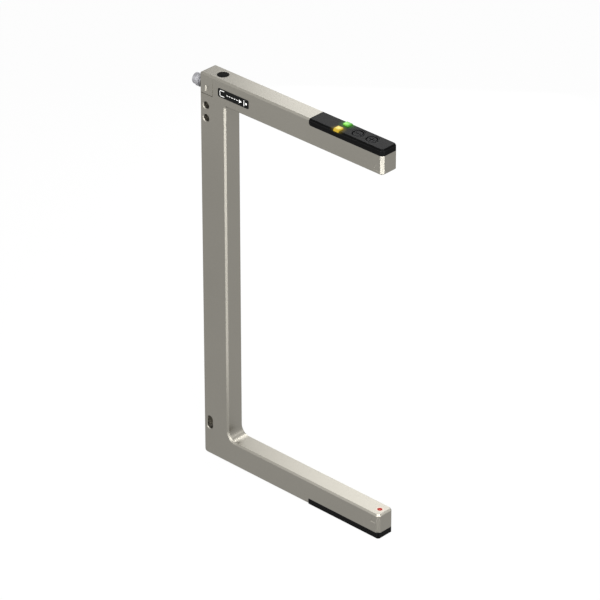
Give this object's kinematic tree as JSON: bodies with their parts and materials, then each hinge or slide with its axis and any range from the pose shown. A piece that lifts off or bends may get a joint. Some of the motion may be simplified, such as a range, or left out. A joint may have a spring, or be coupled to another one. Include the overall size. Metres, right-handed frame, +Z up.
{
  "type": "fork sensor",
  "caption": "C-shaped die-cast fork light sensor with a wide slot between its arms, black tip covers, lit indicators, screwdriver adjusters and a round plug connector.",
  "frame": {"origin": "midway between the two round fixing holes, in the middle of the casting's thickness", "axes": "+X from the spine towards the arm tips, +Y out of the rear face, +Z up the spine"},
  "size_m": [0.1485, 0.0122, 0.2528],
  "materials": {
    "nickel_casting": "satin nickel-plated zinc die casting",
    "cover_plastic": "fine satin moulded black",
    "plug_plastic": "moulded black",
    "spindle_plastic": "moulded dark grey",
    "amber_light": "lit amber light pipe",
    "green_light": "lit green light pipe",
    "red_lens": "lit red moulded lens",
    "dark_lens": "dark red moulded lens",
    "seal_rubber": "black nitrile rubber",
    "nickel_brass": "bright nickel-plated brass",
    "insert_plastic": "moulded black",
    "gold_contact": "gold-plated brass",
    "board_laminate": "green solder mask",
    "chip_black": "moulded black package",
    "terminal_white": "moulded white block",
    "adjuster_blue": "moulded blue case",
    "lamp_white": "small lamp package",
    "sensor_clear": "dark moulded photodiode",
    "cable_jacket": "black PUR jacket"
  },
  "bodies": {
    "sensor": {"housing": "nickel_casting", "upper_cover": "cover_plastic", "lower_cover": "cover_plastic", "bore_plug": "plug_plastic", "output_indicator": "amber_light", "power_indicator": "green_light", "emitter_lens": "red_lens", "receiver_lens": "dark_lens", "upper_cover_gasket": "seal_rubber", "lower_cover_gasket": "seal_rubber", "connector_seal": "seal_rubber", "connector_shell": "nickel_brass", "connector_insert": "insert_plastic", "contact_pins": "gold_contact", "receiver_board": "board_laminate", "emitter_board": "board_laminate", "signal_chip": "chip_black", "output_driver": "chip_black", "driver_chip": "chip_black", "receiver_terminal": "terminal_white", "emitter_terminal": "terminal_white", "mode_switch": "adjuster_blue", "sensitivity_pot": "adjuster_blue", "output_led": "lamp_white", "power_led": "lamp_white", "emitter_led": "lamp_white", "receiver_photodiode": "sensor_clear", "receiver_holder": "insert_plastic", "emitter_holder": "insert_plastic", "link_cable": "cable_jacket", "connector_leads": "cable_jacket"},
    "sensitivity_adjuster": {"sensitivity_spindle": "spindle_plastic", "sensitivity_seal": "seal_rubber"},
    "mode_adjuster": {"mode_spindle": "spindle_plastic", "mode_seal": "seal_rubber"}
  },
  "joints": [
    {"name": "sensitivity_turn", "type": "hinge", "parent": "sensor", "child": "sensitivity_adjuster", "pos_m": [0.1215, 0, 0.023], "axis": [0, 0, 1], "range_deg": [-135, 135]},
    {"name": "mode_turn", "type": "hinge", "parent": "sensor", "child": "mode_adjuster", "pos_m": [0.11115, 0, 0.023], "axis": [0, 0, 1], "range_deg": [0, 90]}
  ]
}
